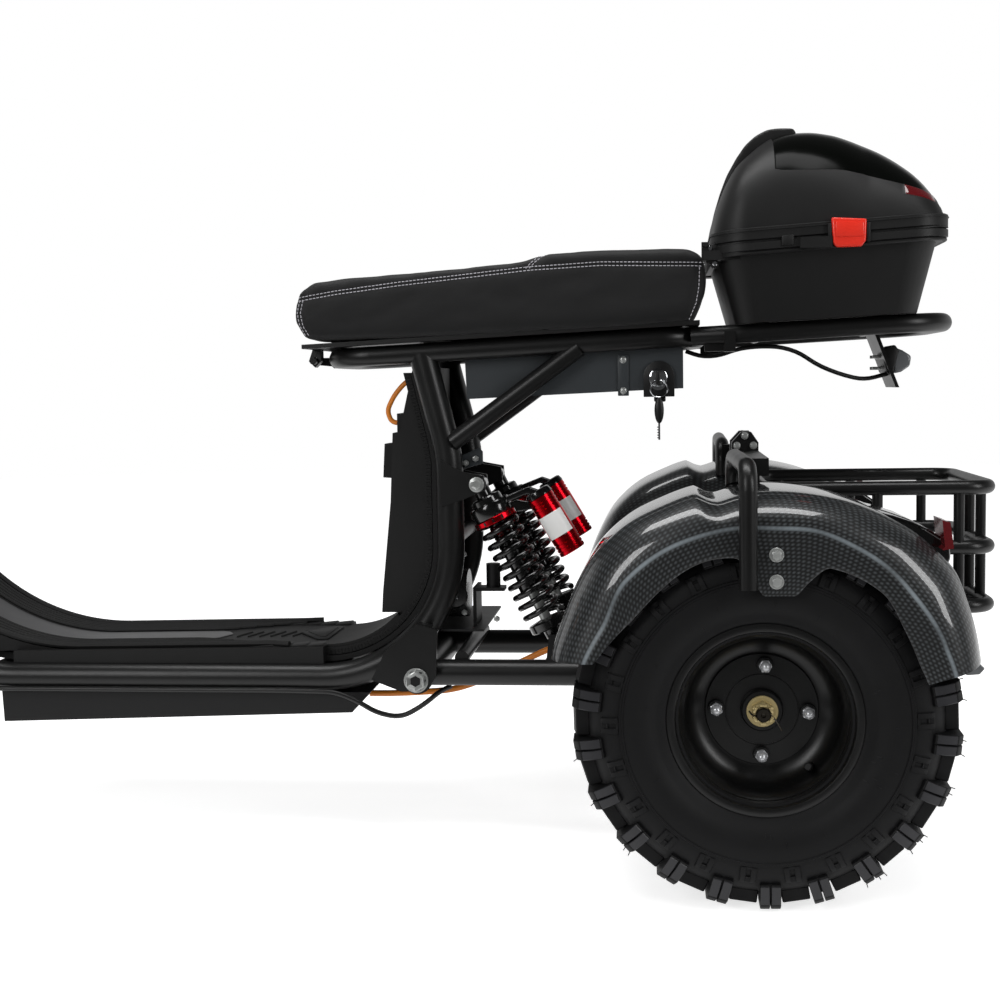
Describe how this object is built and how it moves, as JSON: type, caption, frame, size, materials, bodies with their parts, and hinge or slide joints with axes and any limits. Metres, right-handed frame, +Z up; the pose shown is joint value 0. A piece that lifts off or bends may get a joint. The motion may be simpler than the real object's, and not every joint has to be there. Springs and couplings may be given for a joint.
{
  "type": "electric three-wheel scooter",
  "caption": "Step-through electric scooter with one steered front wheel, two driven rear wheels under fenders, a hinged double seat, a rear basket and a hinged top case.",
  "frame": {"origin": "on the floor, under the middle of the outer box in plan", "axes": "+X to the rear of the scooter, -Y to its left side, +Z up"},
  "size_m": [2.2011, 0.91, 1.1453],
  "materials": {
    "frame_paint": "semi-gloss black powder coat",
    "deck_rubber": "ribbed black rubber mat",
    "box_steel": "satin black sheet steel",
    "case_plastic": "dark grey textured plastic",
    "slate_paint": "slate blue-grey paint",
    "chrome": "polished",
    "motor_cast": "black painted casting",
    "shock_alloy": "red anodised and black",
    "spring_steel": "gloss black coat",
    "horn_plastic": "black",
    "basket_coat": "black powder coat",
    "fender_gloss": "glossy black weave",
    "red_lens": "red lens",
    "case_textured": "textured black plastic",
    "tyre": "black rubber with block lugs",
    "rim_steel": "satin black pressed steel",
    "fork_steel": "chromed tubes and black sliders",
    "clamp_alloy": "black alloy",
    "grip_rubber": "ribbed rubber",
    "mirror_plastic": "black shell, mirror glass",
    "display_plastic": "black with a dark screen",
    "lamp_glass": "clear lens in a chrome ring",
    "amber_lens": "amber lens",
    "pan_plastic": "black",
    "seat_fabric": "black fabric with white stitching",
    "case_gloss": "gloss black plastic",
    "lead_black": "black sheath",
    "lead_orange": "orange sheath"
  },
  "bodies": {
    "frame": {"main_tube_left": "frame_paint", "main_tube_right": "frame_paint", "steering_head": "frame_paint", "frame_cross_members": "frame_paint", "seat_frame": "frame_paint", "rear_rack": "frame_paint", "deck_mat": "deck_rubber", "leg_shield": "deck_rubber", "rear_trim": "deck_rubber", "controller_box": "box_steel", "battery_case": "case_plastic", "storage_box": "slate_paint", "seat_lock": "chrome", "pivot_plates": "frame_paint", "swing_arm": "frame_paint", "rear_axle": "motor_cast", "shock_absorbers": "shock_alloy", "shock_springs": "spring_steel", "horn": "horn_plastic", "electrics_tray": "box_steel", "rear_basket": "basket_coat", "basket_bars": "basket_coat", "rear_fender_left": "fender_gloss", "rear_fender_right": "fender_gloss", "fender_arches": "frame_paint", "fender_lamps": "red_lens", "case_base": "case_textured", "tail_light": "red_lens", "black_leads": "lead_black", "orange_leads": "lead_orange"},
    "rear_wheel_left": {"rear_tyre_left": "tyre", "rear_rim_left": "rim_steel"},
    "rear_wheel_right": {"rear_tyre_right": "tyre", "rear_rim_right": "rim_steel"},
    "front_wheel": {"front_tyre": "tyre", "front_rim": "rim_steel"},
    "fork": {"fork_legs": "fork_steel", "handlebar": "frame_paint", "fork_clamps": "clamp_alloy", "grips": "grip_rubber", "brake_levers": "clamp_alloy", "mirrors": "mirror_plastic", "display": "display_plastic", "headlight": "lamp_glass", "turn_signals": "amber_lens", "front_fender": "fender_gloss", "brake_caliper": "clamp_alloy", "front_brake_hose": "lead_black"},
    "seat": {"seat_pan": "pan_plastic", "seat_cushion": "seat_fabric"},
    "lid": {"case_lid": "case_gloss", "backrest_pad": "case_textured"}
  },
  "joints": [
    {"name": "steering", "type": "hinge", "parent": "frame", "child": "fork", "pos_m": [-0.70103, 0, 0.60902], "axis": [0.309, 0, 0.9511], "range_deg": [-35, 35]},
    {"name": "front_wheel_spin", "type": "hinge", "parent": "fork", "child": "front_wheel", "pos_m": [-0.8667, 0, 0.2286], "axis": [0, 1, 0], "continuous": true},
    {"name": "rear_left_wheel_spin", "type": "hinge", "parent": "frame", "child": "rear_wheel_left", "pos_m": [0.7733, -0.302, 0.2286], "axis": [0, 1, 0], "continuous": true},
    {"name": "rear_right_wheel_spin", "type": "hinge", "parent": "frame", "child": "rear_wheel_right", "pos_m": [0.7733, 0.302, 0.2286], "axis": [0, 1, 0], "continuous": true},
    {"name": "seat_hinge", "type": "hinge", "parent": "frame", "child": "seat", "pos_m": [0.1663, 0, 0.664], "axis": [0, -1, 0], "range_deg": [0, 65]},
    {"name": "case_lid_hinge", "type": "hinge", "parent": "frame", "child": "lid", "pos_m": [0.7143, 0, 0.803], "axis": [0, -1, 0], "range_deg": [0, 60]}
  ]
}
